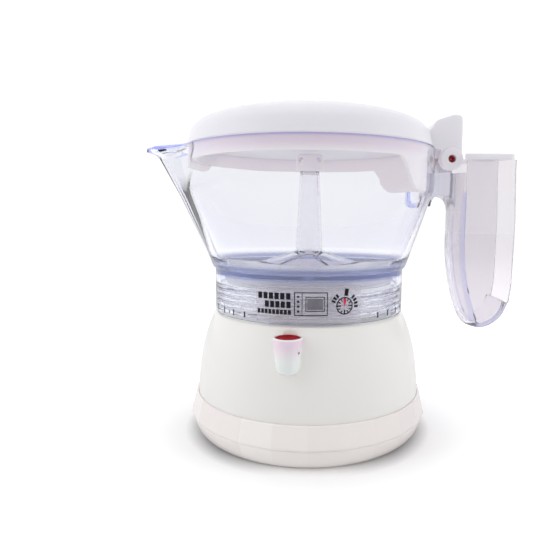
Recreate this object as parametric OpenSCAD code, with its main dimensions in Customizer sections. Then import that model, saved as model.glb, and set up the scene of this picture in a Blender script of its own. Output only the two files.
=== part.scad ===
// Microwave coffee maker: a double-walled base with a water tank and a valve, a coffee funnel,
// and a clear screw-on jug with a spout, a riser column, a hollow handle and a hinged lid.
// Millimetres. +Z is up, the origin is the centre of the foot on the table,
// the handle points to +X, the spout to -X and the label to -Y.

/* [Base] */
// Radius of the flat foot where it meets the table
foot_r = 54; // [52:0.5:56]
// Height of the foot, up to the grip band
foot_h = 10.2; // [9:0.1:11]
// Corner radius of the grip band at its lower edge
band_low_r = 62.2; // [61.5:0.1:63]
// Corner radius of the grip band at its upper edge
band_top_r = 60; // [59.8:0.1:61]
// Height of the top of the grip band
band_top = 21.2; // [20:0.1:22]
// Number of flats round the grip band
band_flats = 24; // [20:1:30]
// Outer radius of the housing where it leaves the band
housing_r = 58.5; // [58:0.1:58.6]
// Height of the housing's shoulder, just under the jug
housing_top = 62.9; // [62:0.1:63]

/* [Water tank] */
// Outer radius of the tank
tank_r = 48; // [47:0.1:48.4]
// Outer radius of the tank's neck, under the thread
neck_r = 43.6; // [43:0.1:44]
// Height of the rim of the neck
neck_top = 78.2; // [77:0.1:78.4]
// Wall of the tank
tank_wall = 2.4; // [2:0.1:3]

/* [Thread] */
// Distance that the jug rises in one turn
thread_lead = 6; // [5:0.5:7]
// Outer radius of the thread on the neck
male_r = 46.2; // [45.8:0.1:46.4]
// Inner radius of the thread in the collar
female_r = 45; // [44.8:0.1:45.4]

/* [Jug] */
// Outer radius of the collar
collar_r = 49.4; // [49:0.1:50]
// Height of the lower edge of the collar
collar_bottom = 63.5; // [63.3:0.1:64]
// Height of the jug's floor
floor_z = 86.2; // [86:0.1:87]
// Outer radius of the jug at the rim
rim_r = 64.2; // [63.5:0.1:65]
// Height of the rim
rim_z = 146; // [144:0.5:147]
// Wall of the jug
jug_wall = 2.2; // [1.8:0.1:2.5]
// How far the tip of the spout lies from the axis
spout_reach = 85.6; // [82:0.1:88]

/* [Handle] */
// How far the outer edge of the handle lies from the axis
handle_reach = 104.2; // [100:0.1:106]
// Width of the handle
handle_w = 28; // [26:0.5:30]

/* [Lid] */
// Outer radius of the lid at its lower edge
lid_r = 62.6; // [62:0.1:63]
// Height of the crown of the lid
lid_top = 166.4; // [164:0.1:168]
// Distance of the hinge pin from the axis
pin_x = 72; // [71.5:0.1:72.5]
// Height of the hinge pin
pin_z = 141.6; // [141.3:0.1:142]
// Diameter of the hinge pin
pin_d = 4; // [3.6:0.1:4.2]

/* [Hidden] */
$fn = 64;

// Colours
ivory = [0.93, 0.93, 0.90];
blush = [0.94, 0.91, 0.90];
milky = [0.88, 0.88, 0.90, 0.9];
clear = [0.80, 0.84, 0.94, 0.45];
frosted = [0.88, 0.89, 0.92, 0.8];
red = [0.75, 0.02, 0.08];
grey = [0.62, 0.62, 0.68];

// Housing
shell = 2.4;
housing_outer = [for (i = [0 : 12]) bezier([housing_r, band_top], [housing_r - 0.3, 37],
                                           [housing_r - 3.2, 51], [50.2, 61.3], i / 12)];
tray_floor = 3.5;
tray_step = 1;

// Valve, standing upright against the housing a little left of the front
valve_az = 9.2;
valve_at = 55.8;
cup_r = 6.5;
cup_low = 43;
cup_top = 59;
cup_bore = 5.3;
seat_z = 53;
port_z = 50;
port_r = 2.5;
plug_top = 59.7;

// Thread
starts = 2;
thread_pitch = thread_lead / starts;
ridge_root = 1.6;
ridge_crest = 0.8;
ridge_sink = 0.4;
ridge_steps = 36;
thread_z = 66.3;
thread_turns = 1.6;

// Funnel, filter and gasket
basket_r = 38;
basket_low = 58;
funnel_flange_r = 43;
stem_r = 4.5;
stem_low = 13;
flange_top = 79.2;
gasket_low = 79.6;
gasket_r = 44.4;
gasket_hole_r = 36;
plate_r = 38;
seal_top = 83.2;

// Jug
collar_in = collar_r - jug_wall;
floor_t = 2.6;
kink_r = 50.6;
cone_top_z = 125;
cone_foot_r = 27;
cone_head_r = 7.5;
cone_head_z = 94;
spigot_r = 5.1;
ridge_foot = [-50, 86.4];
ridge_head = [-76.9, 137.6];
flank_az = 31;
lip_rise = 1;
// Outer line of the wall: kink over the collar, flared cone, then an upright band to the rim
jug_outer = concat([[kink_r, floor_z]],
                   [for (i = [0 : 8]) bezier([51, floor_z + 0.6], [56.5, 104], [61, 116.5],
                                             [rim_r - 0.3, cone_top_z], i / 8)],
                   [[rim_r, cone_top_z + 4], [rim_r, rim_z]]);

// Riser column
column_low_r = 7.1;
column_top_r = 5;
column_top = 135.2;
column_bore = 3.2;
cap_r = 7;
cap_top = 144;

// Handle, drawn from the side as X and Z
handle_wall = 2.2;
grip_in = 73;
web_low = 123;
web_top = 134.6;
web_half = 10;
cheek_top = 141;
cheek_x = 78;
rail_top = 144;
grip_line = concat([[grip_in, web_top]],
                   [for (i = [0 : 8]) bezier([grip_in, 98], [grip_in + 0.6, 80], [77.5, 62],
                                             [83.5, 55.6], i / 8)],
                   [for (i = [0 : 8]) bezier([85.5, 54.4], [91, 52.2], [103.6, 58],
                                             [handle_reach - 0.3, 78], i / 8)],
                   [[handle_reach, 110], [handle_reach - 1, cheek_top], [cheek_x, cheek_top],
                    [cheek_x, web_top]]);
tongue_half = 5;
tongue_r = 5;
tongue_back = 1.8;
lever_bay = 11.2;

// Lid
lid_wall = 1.8;
lid_low = 146.4;
ear_half = 10;
ear_r = 5.7;
slot_half = 5.3;
slot_r = 5.8;
lever_face = 76.7;
liner_top = 148.4;
skirt_r = 60.2;
skirt_t = 1.8;
skirt_low = 139.3;
flap_low = 125;
flap_half_az = 42;
baffle_low = 135.5;
baffle_half_az = 13.5;

// A point on a cubic curve, t from 0 to 1
function bezier(a, b, c, d, t) = pow(1 - t, 3) * a + 3 * t * pow(1 - t, 2) * b
                                 + 3 * t * t * (1 - t) * c + pow(t, 3) * d;

// A cylinder between two heights, on the axis
module post(r, z1, z2) {
  translate([0, 0, z1]) cylinder(r = r, h = z2 - z1);
}

// A tube between two heights, on the axis
module tube(r_out, r_in, z1, z2) {
  difference() {
    post(r_out, z1, z2);
    post(r_in, z1 - 1, z2 + 1);
  }
}

// A wedge that keeps what lies within half_az of direction az, from the axis out to reach
module wedge(az, half_az, reach, z1, z2) {
  far = reach / cos(half_az);
  rotate([0, 0, az]) translate([0, 0, z1]) linear_extrude(z2 - z1)
    polygon([[0, 0], [far * cos(half_az), -far * sin(half_az)],
             [far * cos(half_az), far * sin(half_az)]]);
}

// Places things that stand at the valve, with their own +X pointing away from the axis
module at_valve() {
  rotate([0, 0, -90 - valve_az]) translate([valve_at, 0, 0]) children();
}

// One thread ridge as a swept trapezium: from r_root at its foot to r_crest at its crest
module ridge(r_root, r_crest, start_deg, z0) {
  n = ceil(ridge_steps * thread_turns);
  section = [[r_root, -ridge_root / 2], [r_crest, -ridge_crest / 2],
             [r_crest, ridge_crest / 2], [r_root, ridge_root / 2]];
  points = [for (i = [0 : n], p = section)
              let (a = start_deg + 360 * thread_turns * i / n)
              [p[0] * cos(a), p[0] * sin(a), z0 + thread_lead * thread_turns * i / n + p[1]]];
  sides = [for (i = [0 : n - 1], j = [0 : 3])
             [4 * i + j, 4 * i + (j + 1) % 4, 4 * i + 4 + (j + 1) % 4, 4 * i + 4 + j]];
  caps = [[3, 2, 1, 0], [4 * n, 4 * n + 1, 4 * n + 2, 4 * n + 3]];
  flip = r_root < r_crest ? 0 : 1;
  faces = concat(sides, caps);
  polyhedron(points, [for (f = faces) flip == 1 ? f : [for (k = [len(f) - 1 : -1 : 0]) f[k]]]);
}

module base_tray() {
  foot_curve = [for (i = [0 : 8]) bezier([foot_r, 0], [foot_r + 4.5, 0.6],
                                         [band_low_r - 2.6, 4.5], [band_low_r - 0.8, foot_h], i / 8)];
  color(blush) {
    rotate_extrude($fn = 96)
      polygon(concat([[0, 0], [foot_r - 12, 0], [foot_r - 11.4, tray_step], [foot_r - 7, tray_step],
                      [foot_r - 6.4, 0]], foot_curve,
                     [[band_low_r - 3, foot_h + 1], [housing_r, foot_h + 1.6], [housing_r, foot_h + 4],
                      [housing_r - 3, foot_h + 2], [foot_r - 2, tray_floor], [0, tray_floor]]));
    difference() {
      hull() {
        translate([0, 0, foot_h]) rotate([0, 0, 180 / band_flats])
          linear_extrude(0.6) circle(r = band_low_r, $fn = band_flats);
        translate([0, 0, band_top - 0.6]) rotate([0, 0, 180 / band_flats])
          linear_extrude(0.6) circle(r = band_top_r, $fn = band_flats);
      }
      post(housing_r + 0.05, foot_h + 3, band_top + 1);
      post(housing_r - 4, foot_h - 1, foot_h + 4);
    }
  }
}

module base_housing() {
  inner = [for (i = [12 : -1 : 0]) housing_outer[i] - [shell, 0.4]];
  color(ivory) difference() {
    rotate_extrude($fn = 96)
      polygon(concat([[housing_r, foot_h + 4.4]], housing_outer,
                     [[49.2, 62.3], [47.8, housing_top], [46, housing_top], [46, housing_top - shell],
                      [47.4, housing_top - shell]],
                     inner, [[housing_r - shell, foot_h + 4.4]]));
    at_valve() post(cup_r, cup_low, housing_top + 1);
  }
}

module water_tank() {
  color(frosted) difference() {
    rotate_extrude($fn = 96)
      polygon([[0, 6], [foot_r - 12, 6], [tank_r - 3, 8.5], [tank_r, 12], [tank_r, 46],
               [neck_r + 2, 57], [neck_r, 60.5], [neck_r, neck_top], [neck_r - tank_wall, neck_top],
               [neck_r - tank_wall, 59.5], [tank_r - tank_wall, 45], [tank_r - tank_wall, 12.5],
               [tank_r - 5, 10.2], [foot_r - 13, 8.2], [0, 8.2]]);
    at_valve() translate([0, 0, port_z]) rotate([0, -90, 0]) cylinder(r = port_r, h = 14);
  }
  // Six feet that carry the tank on the tray
  color(frosted) for (i = [0 : 5]) rotate([0, 0, 60 * i + 30])
    translate([foot_r - 22, 0, tray_floor]) cylinder(r = 3, h = 6.2 - tray_floor);
}

module tank_thread() {
  color(frosted) for (i = [0 : starts - 1])
    ridge(neck_r - ridge_sink, male_r, 360 * i / starts, thread_z);
}

module valve_shroud() {
  color(ivory) at_valve() difference() {
    rotate_extrude()
      polygon(concat([for (i = [0 : 6]) bezier([0, cup_low], [cup_r - 1.6, cup_low],
                                              [cup_r - 0.4, cup_low + 1], [cup_r - 0.35, cup_low + 5], i / 6)],
                     [[cup_r, cup_top], [0, cup_top]]));
    post(cup_bore, cup_low + 2, cup_top + 1);
    translate([0, 0, port_z]) rotate([0, -90, 0]) cylinder(r = port_r, h = cup_r + 1);
    translate([0, 0, seat_z + 1]) rotate([90, 0, 90]) rotate([0, 50, 0]) cylinder(r = 0.6, h = cup_r + 1, $fn = 24);
  }
}

module valve_body() {
  color(ivory) at_valve() difference() {
    union() {
      post(cup_bore, cup_low + 2, seat_z);
      translate([0, 0, port_z]) rotate([0, -90, 0]) cylinder(r = port_r, h = valve_at - tank_r + tank_wall + 1);
    }
    post(2.2, cup_low + 3, seat_z + 1);
    translate([-1, 0, port_z]) rotate([0, -90, 0]) cylinder(r = 1.2, h = 14);
  }
}

module valve_plug() {
  color(red) at_valve() {
    rotate_extrude()
      polygon([[0, cup_low + 6], [1.8, cup_low + 6], [1.8, seat_z + 0.3], [4.9, seat_z + 0.3],
               [4.9, plug_top - 1], [4.2, plug_top - 0.2], [3, plug_top], [0, plug_top]]);
  }
}

module filter_funnel() {
  color(frosted) rotate_extrude($fn = 96)
    polygon([[stem_r - 1.4, stem_low], [stem_r, stem_low], [stem_r, 50], [stem_r + 2, 52.5],
             [basket_r - 3, basket_low - 3], [basket_r, basket_low + 1], [basket_r + 0.8, neck_top + 0.1],
             [funnel_flange_r, neck_top + 0.1], [funnel_flange_r, flange_top], [basket_r - 0.6, flange_top],
             [basket_r - 1.6, basket_low + 1], [basket_r - 4, basket_low - 1.4],
             [stem_r + 1.6, 54.4], [stem_r - 1.4, 51]]);
}

module funnel_screen() {
  color(milky) difference() {
    post(basket_r - 1.9, basket_low + 1.2, basket_low + 2.4);
    for (ring = [1 : 3]) for (i = [0 : 6 * ring - 1])
      rotate([0, 0, 60 * i / ring]) translate([10 * ring, 0, 0])
        cylinder(r = 1.2, h = basket_low + 5, $fn = 16);
  }
}

module filter_plate() {
  color(milky) difference() {
    union() {
      post(plate_r, gasket_low + 1.2, gasket_low + 2.4);
      post(gasket_hole_r, gasket_low + 1.2, gasket_low + 2.8);
    }
    for (ring = [1 : 3]) for (i = [0 : 6 * ring - 1])
      rotate([0, 0, 60 * i / ring]) translate([9.5 * ring, 0, 0])
        cylinder(r = 1, h = gasket_low + 5, $fn = 16);
  }
}

module gasket() {
  color(grey) difference() {
    tube(gasket_r, gasket_hole_r, gasket_low, seal_top);
    post(plate_r, gasket_low + 1.2, gasket_low + 2.4);
  }
}

// The spout as a solid beak, from its ridge on the collar to its drooping tip.
// inset draws it smaller by the wall, for the channel inside.
module beak(inset) {
  up = inset > 0 ? 6 : 0;
  tip_x = -spout_reach + 2.6 * inset;
  flank_r = rim_r - (inset > 0 ? inset + 1 : 0.6);
  az = flank_az - 0.9 * inset;
  hull() {
    translate([ridge_foot[0] + inset, 0, ridge_foot[1] + inset]) sphere(r = 0.5, $fn = 8);
    translate([ridge_head[0] + 1.15 * inset, 0, ridge_head[1]]) sphere(r = 0.6, $fn = 8);
    translate([tip_x + 1, 0, rim_z - 1.6]) cylinder(r = 1, h = 0.6 + up, $fn = 8);
    for (s = [-1, 1]) {
      translate([-71, s * (9.6 - 0.9 * inset), rim_z - 1]) cylinder(r = 0.6, h = 1 + lip_rise + up, $fn = 8);
      rotate([0, 0, 180 + s * az]) translate([flank_r - 3, 0, 126]) cylinder(r = 0.6, h = rim_z - 126 + up, $fn = 8);
      rotate([0, 0, 180 + s * az * 0.4]) translate([54 - inset, 0, 100]) sphere(r = 0.5, $fn = 8);
    }
  }
}

module jug_body() {
  inner = [for (i = [len(jug_outer) - 1 : -1 : 1]) jug_outer[i] - [jug_wall, 0]];
  floor_curve = [for (i = [0 : 5]) bezier([51 - jug_wall, floor_z + 5], [47.5, floor_z + 1.2],
                                         [44, floor_z], [38, floor_z], i / 5)];
  color(clear) difference() {
    union() {
      rotate_extrude($fn = 96)
        polygon(concat([[collar_in, collar_bottom], [collar_r, collar_bottom], [collar_r, floor_z - 1]],
                       jug_outer, [[0, rim_z], [0, floor_z - floor_t], [collar_in, floor_z - floor_t]]));
      beak(0);
      // Tongue that carries the hinge pin, and the web that joins wall, tongue and handle
      rotate([90, 0, 0]) translate([0, 0, -tongue_half]) linear_extrude(2 * tongue_half)
        difference() {
          union() {
            translate([pin_x, pin_z]) circle(r = tongue_r);
            translate([pin_x - tongue_r, web_low + 4]) square([tongue_r + tongue_back, pin_z - web_low - 4]);
          }
          translate([pin_x, pin_z]) circle(d = pin_d + 0.1);
        }
      translate([rim_r - 4, -web_half, web_low]) cube([grip_in - rim_r + 4, 2 * web_half, web_top - web_low]);
    }
    // Inside of the jug, with a small ledge under the rim
    rotate_extrude($fn = 96)
      polygon(concat([[0, rim_z + 8], [rim_r - jug_wall, rim_z + 8], [rim_r - jug_wall, rim_z - 8],
                      [rim_r - jug_wall - 0.6, rim_z - 8.6]],
                     [for (i = [2 : len(inner) - 2]) inner[i] - [0.6, 0]],
                     floor_curve, [[cone_foot_r, floor_z], [cone_head_r, cone_head_z],
                                   [0, cone_head_z]]));
    beak(jug_wall);
    // Hollow of the cone, and the socket of the column
    rotate_extrude()
      polygon([[0, floor_z - floor_t - 1], [cone_foot_r - 4, floor_z - floor_t - 1],
               [cone_foot_r - 4, floor_z - floor_t], [cone_head_r - 0.5, cone_head_z - 3.4],
               [spigot_r, cone_head_z - 3.4], [spigot_r, cone_head_z + 1], [0, cone_head_z + 1]]);
  }
}

module jug_thread() {
  color(clear) for (i = [0 : starts - 1])
    ridge(collar_in + ridge_sink, female_r, 360 * i / starts, thread_z + thread_pitch / 2);
}

module collar_label() {
  color(grey) intersection() {
    tube(collar_r + 0.25, collar_r, collar_bottom + 1, floor_z - 5.2);
    wedge(-90, 28.5, 60, collar_bottom, floor_z);
  }
}

module riser_column() {
  color(frosted) rotate_extrude()
    polygon([[column_bore, cone_head_z - 3.2], [spigot_r, cone_head_z - 3.2], [spigot_r, cone_head_z],
             [column_low_r, cone_head_z], [column_top_r, column_top], [column_top_r - 0.4, column_top],
             [column_top_r - 0.4, column_top + 4], [column_bore, column_top + 4]]);
}

module column_cap() {
  color(frosted) difference() {
    rotate_extrude()
      polygon([[column_top_r - 0.4, column_top], [cap_r, column_top], [cap_r, cap_top - 1.2],
               [cap_r - 1.2, cap_top], [0, cap_top], [0, cap_top - 1.6], [cap_r - 1.6, cap_top - 1.6],
               [cap_r - 1.6, column_top + 4.2], [column_top_r - 0.4, column_top + 4.2]]);
    for (i = [0 : 1]) rotate([0, 0, 45 + 90 * i])
      translate([-cap_r - 1, -1.5, column_top + 4.4]) cube([2 * cap_r + 2, 3, 2.4]);
  }
}

// Plan of the handle: rounded towards the jug, straight at the sides
module handle_plan(inset) {
  half = handle_w / 2 - inset;
  nose = 20.6 - inset;
  intersection() {
    translate([grip_in + 20.6, 0]) circle(r = nose, $fn = 96);
    translate([grip_in, -half]) square([20.6, 2 * half]);
  }
  translate([grip_in + 20.5, -half]) square([30, 2 * half]);
}

module handle() {
  color(clear) difference() {
    intersection() {
      rotate([90, 0, 0]) translate([0, 0, -handle_w / 2]) linear_extrude(handle_w) polygon(grip_line);
      translate([0, 0, 40]) linear_extrude(120) handle_plan(0);
    }
    // Hollow, open at the back and at the top
    intersection() {
      rotate([90, 0, 0]) translate([0, 0, -handle_w / 2]) linear_extrude(handle_w)
        polygon(concat([[grip_in + handle_wall, cheek_top + 1], [grip_in + handle_wall, 98]],
                       [for (i = [1 : 8]) bezier([grip_in, 98], [grip_in + 0.6, 80], [77.5, 62],
                                                 [83.5, 55.6], i / 8) + [handle_wall, 0.9 * i / 8]],
                       [[92, 56.6], [98, 60.5], [100.5, 66], [handle_reach + 6, 66],
                        [handle_reach + 6, cheek_top + 1]]));
      translate([0, 0, 40]) linear_extrude(120) handle_plan(handle_wall);
    }
    // Bay that the lever swings into, between the cheeks
    translate([cheek_x - 1, -lever_bay, web_top]) cube([6, 2 * lever_bay, cheek_top - web_top + 1]);
  }
}

module handle_cover() {
  color(milky) for (s = [-1, 1])
    translate([cheek_x, s * (handle_w / 2 - handle_wall / 2) - handle_wall / 2, cheek_top])
      cube([handle_reach - cheek_x - 1.2, handle_wall, rail_top - cheek_top]);
  color(milky) translate([handle_reach - 4.4, -handle_w / 2, cheek_top]) cube([3.2, handle_w, rail_top - cheek_top]);
}

module lid_dome() {
  outer = concat([[lid_r, lid_low], [lid_r - 0.2, lid_low + 2.5]],
                 [for (i = [0 : 8]) bezier([lid_r - 0.5, lid_low + 4], [lid_r - 1.6, lid_top - 6.5],
                                          [40, lid_top - 1.6], [0, lid_top], i / 8)]);
  inner = [for (i = [len(outer) - 1 : -1 : 2]) outer[i] - [i == len(outer) - 1 ? 0 : lid_wall, lid_wall - 0.2]];
  color(milky) difference() {
    union() {
      difference() {
        rotate_extrude($fn = 96)
          polygon(concat(outer, inner, [[lid_r - lid_wall, lid_low + 3], [lid_r - lid_wall, lid_low]]));
        // Room for the lever's foot
        translate([lid_r - 8, -ear_half + 1.5, lid_low - 1]) cube([4, 2 * ear_half - 3, 3]);
      }
      rotate([90, 0, 0]) translate([0, 0, -ear_half]) linear_extrude(2 * ear_half) {
        polygon([[lid_r - 3.4, lid_low + 0.2], [pin_x - ear_r, lid_low + 0.2], [pin_x - ear_r, pin_z],
                 [lever_face, pin_z], [lever_face, 161], [75.8, 162.8], [73.2, 163.8], [70.2, 163.7],
                 [63.4, 161], [62.3, 159.5], [lid_r - 3.4, 155]]);
        translate([pin_x, pin_z]) circle(r = ear_r);
      }
    }
    // Slot for the tongue, and the bore of the pin
    rotate([90, 0, 0]) translate([0, 0, -slot_half]) linear_extrude(2 * slot_half) {
      translate([pin_x, pin_z]) circle(r = slot_r);
      translate([pin_x - slot_r, pin_z - 8]) square([2 * slot_r, 8]);
    }
    rotate([90, 0, 0]) translate([pin_x, pin_z, -ear_half - 1]) cylinder(d = pin_d, h = 2 * ear_half + 2);
  }
}

module lid_liner() {
  color(milky) {
    post(lid_r - lid_wall, lid_low + 0.4, liner_top);
    tube(skirt_r, skirt_r - skirt_t, skirt_low, lid_low + 1);
    intersection() {
      tube(skirt_r, skirt_r - skirt_t, flap_low, lid_low + 1);
      wedge(0, flap_half_az, 70, flap_low, lid_low + 1);
    }
    intersection() {
      tube(lid_r - 0.2, skirt_r - skirt_t, baffle_low, lid_low - 0.1);
      wedge(180, baffle_half_az, 70, baffle_low, lid_low + 1);
    }
  }
}

module hinge_pin() {
  color(red) rotate([90, 0, 0]) translate([pin_x, pin_z, -ear_half + 0.8])
    cylinder(d = pin_d, h = 2 * ear_half - 1.6);
}

base_tray();
base_housing();
water_tank();
tank_thread();
valve_shroud();
valve_body();
valve_plug();
filter_funnel();
funnel_screen();
filter_plate();
gasket();
jug_body();
jug_thread();
collar_label();
riser_column();
column_cap();
handle();
handle_cover();
lid_dome();
lid_liner();
hinge_pin();
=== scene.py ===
"""Looks of a microwave coffee maker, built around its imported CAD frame.

Lengths are in millimetres up to add_mesh(), which makes metres of them. +X is the handle,
-X the spout and -Y the front. Angles are in degrees where a name ends in _deg."""

import math

import bmesh
import bpy
from mathutils import Matrix, Vector


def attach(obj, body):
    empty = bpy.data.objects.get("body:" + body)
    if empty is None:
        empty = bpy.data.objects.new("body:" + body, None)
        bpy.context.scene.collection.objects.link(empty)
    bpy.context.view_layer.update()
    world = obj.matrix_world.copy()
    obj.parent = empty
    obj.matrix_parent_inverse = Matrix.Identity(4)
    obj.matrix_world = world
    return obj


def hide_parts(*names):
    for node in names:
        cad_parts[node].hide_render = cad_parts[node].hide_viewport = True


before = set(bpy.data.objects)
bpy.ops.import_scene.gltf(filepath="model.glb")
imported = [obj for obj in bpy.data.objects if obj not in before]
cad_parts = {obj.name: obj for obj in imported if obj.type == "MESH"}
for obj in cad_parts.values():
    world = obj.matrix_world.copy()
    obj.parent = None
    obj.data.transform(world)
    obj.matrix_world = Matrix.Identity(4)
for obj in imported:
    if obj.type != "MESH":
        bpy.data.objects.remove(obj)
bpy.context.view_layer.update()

MM = 0.001
FRONT = -math.pi / 2


# ---------------- lines and meshes

def bezier(a, b, c, d, steps):
    """Points on a cubic curve, both ends included."""
    line = []
    for i in range(steps + 1):
        t = i / steps
        weights = ((1 - t) ** 3, 3 * t * (1 - t) ** 2, 3 * t * t * (1 - t), t ** 3)
        line.append(tuple(sum(w * p[k] for w, p in zip(weights, (a, b, c, d))) for k in (0, 1)))
    return line


def straight(start, end, steps):
    """Points in even steps on a straight line, without its start."""
    return [tuple(a + (b - a) * i / steps for a, b in zip(start, end)) for i in range(1, steps + 1)]


def spline(points, steps):
    """A smooth line through the points, with the given steps between each two."""
    ends = [points[0]] + list(points) + [points[-1]]
    line = []
    for i in range(1, len(ends) - 2):
        before, start, end, after = ends[i - 1:i + 3]
        pull_start = [start[k] + (end[k] - before[k]) / 6 for k in (0, 1)]
        pull_end = [end[k] - (after[k] - start[k]) / 6 for k in (0, 1)]
        line += bezier(start, pull_start, pull_end, end, steps)[:-1]
    return line + [tuple(points[-1])]


def rounded(corners, steps=4):
    """A closed outline with its corners rounded: each corner is (x, y, radius)."""
    line = []
    for i, (x, y, radius) in enumerate(corners):
        here = Vector((x, y))
        back = Vector(corners[i - 1][:2]) - here
        ahead = Vector(corners[(i + 1) % len(corners)][:2]) - here
        reach = min(radius, back.length * 0.45, ahead.length * 0.45)
        if reach < 1e-6:
            line.append((x, y))
            continue
        start = here + back.normalized() * reach
        end = here + ahead.normalized() * reach
        pull = 0.55
        line += bezier(start, start.lerp(here, pull), end.lerp(here, pull), end, steps)
    return line


def arc(middle, radius, degrees):
    """Points on a circle at the given degrees."""
    return [(middle[0] + radius * math.cos(math.radians(a)),
             middle[1] + radius * math.sin(math.radians(a))) for a in degrees]


def value_at(table, x):
    """Straight-line value at x in a short table of (x, value) pairs."""
    for (x0, y0), (x1, y1) in zip(table, table[1:]):
        if x <= x1:
            return y0 + (y1 - y0) * max(0.0, (x - x0) / (x1 - x0))
    return table[-1][1]


def smooth_step(low, high, x):
    t = min(1.0, max(0.0, (x - low) / (high - low)))
    return t * t * (3 - 2 * t)


def add(name, data):
    """A new object in the scene."""
    thing = bpy.data.objects.new(name, data)
    bpy.context.scene.collection.objects.link(thing)
    return thing


def add_mesh(name, points, faces):
    """A piece from points in millimetres, with its normals outwards."""
    mesh = bpy.data.meshes.new(name)
    mesh.from_pydata([Vector(p) * MM for p in points], [], faces)
    work = bmesh.new()
    work.from_mesh(mesh)
    bmesh.ops.remove_doubles(work, verts=work.verts, dist=1e-7)
    bmesh.ops.recalc_face_normals(work, faces=work.faces)
    work.to_mesh(mesh)
    work.free()
    return add(name, mesh)


def skin(name, rows, wrap=True, capped=False):
    """Faces over rows of points. A row is a closed loop, or one point on the axis.
    With wrap the last row joins the first. With capped both end rows are closed."""
    points, starts = [], []
    for row in rows:
        starts.append(len(points))
        points += row
    pairs = list(zip(range(len(rows)), range(1, len(rows))))
    if wrap:
        pairs.append((len(rows) - 1, 0))
    faces = []
    if capped:
        faces = [tuple(range(len(rows[0]))), tuple(range(len(points) - 1, starts[-1] - 1, -1))]
    for a, b in pairs:
        count = max(len(rows[a]), len(rows[b]))
        if count == 1:
            continue
        for i in range(count):
            j = (i + 1) % count
            if len(rows[a]) == 1:
                faces.append((starts[a], starts[b] + j, starts[b] + i))
            elif len(rows[b]) == 1:
                faces.append((starts[a] + i, starts[a] + j, starts[b]))
            else:
                faces.append((starts[a] + i, starts[a] + j, starts[b] + j, starts[b] + i))
    return add_mesh(name, points, faces)


def turn(columns, start=0.0):
    """Angles of a whole turn in even steps."""
    return [start + 2 * math.pi * i / columns for i in range(columns)]


def ring(radius, z, angles, at=(0, 0)):
    """A row of points round a vertical axis, or the one point on it where the radius is 0.
    The radius and z are numbers, or functions of the angle."""
    if radius == 0:
        return [(*at, z)]
    row = []
    for angle in angles:
        r = radius(angle) if callable(radius) else radius
        up = z(angle) if callable(z) else z
        row.append((at[0] + r * math.cos(angle), at[1] + r * math.sin(angle), up))
    return row


def lathe(name, profile, columns, at=(0, 0), wrap=True):
    """A turned piece from a profile of (radius, z), as ring() takes them."""
    return skin(name, [ring(r, z, turn(columns), at) for r, z in profile], wrap)


def prism(name, outline, low, high, along="Y"):
    """An outline of (x, z), or (x, y) along Z, drawn out between two places."""
    if along == "Y":
        ends = [[(x, t, z) for x, z in outline] for t in (low, high)]
    else:
        ends = [[(x, y, t) for x, y in outline] for t in (low, high)]
    return skin(name, ends, wrap=False, capped=True)


def spin(degrees, axis):
    return Matrix.Rotation(math.radians(degrees), 4, axis)


def shift(*place):
    """A move, in millimetres."""
    return Matrix.Translation(Vector(place) * MM)


def bake(piece):
    """Applies the piece's modifiers to its mesh."""
    graph = bpy.context.evaluated_depsgraph_get()
    mesh = bpy.data.meshes.new_from_object(piece.evaluated_get(graph))
    piece.modifiers.clear()
    piece.data = mesh
    return piece


def combine(piece, other, operation):
    """UNION or DIFFERENCE of two closed pieces; the second one is used up."""
    step = piece.modifiers.new("combine", "BOOLEAN")
    step.operation = operation
    step.solver = "EXACT"
    step.object = other
    bake(piece)
    bpy.data.objects.remove(other)
    return piece


def soften(piece, width, segments=3, angle_deg=32):
    """Rounds the piece's sharp edges by width, in millimetres."""
    step = piece.modifiers.new("soften", "BEVEL")
    step.width = width * MM
    step.segments = segments
    step.angle_limit = math.radians(angle_deg)
    step.use_clamp_overlap = True
    return bake(piece)


def join(name, pieces):
    """One object from several closed shells."""
    work = bmesh.new()
    for piece in pieces:
        work.from_mesh(piece.data)
        bpy.data.objects.remove(piece)
    mesh = bpy.data.meshes.new(name)
    work.to_mesh(mesh)
    work.free()
    return add(name, mesh)


def dress(piece, body, material, nodes=(), sharp_deg=35):
    """Gives a finished mesh its shading, material, body and the CAD nodes it stands for."""
    piece.data.shade_smooth()
    piece.data.set_sharp_from_angle(angle=math.radians(sharp_deg))
    piece.data.materials.clear()
    piece.data.materials.append(material)
    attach(piece, body)
    if nodes:
        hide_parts(*nodes)
    return piece


# ---------------- materials

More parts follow.
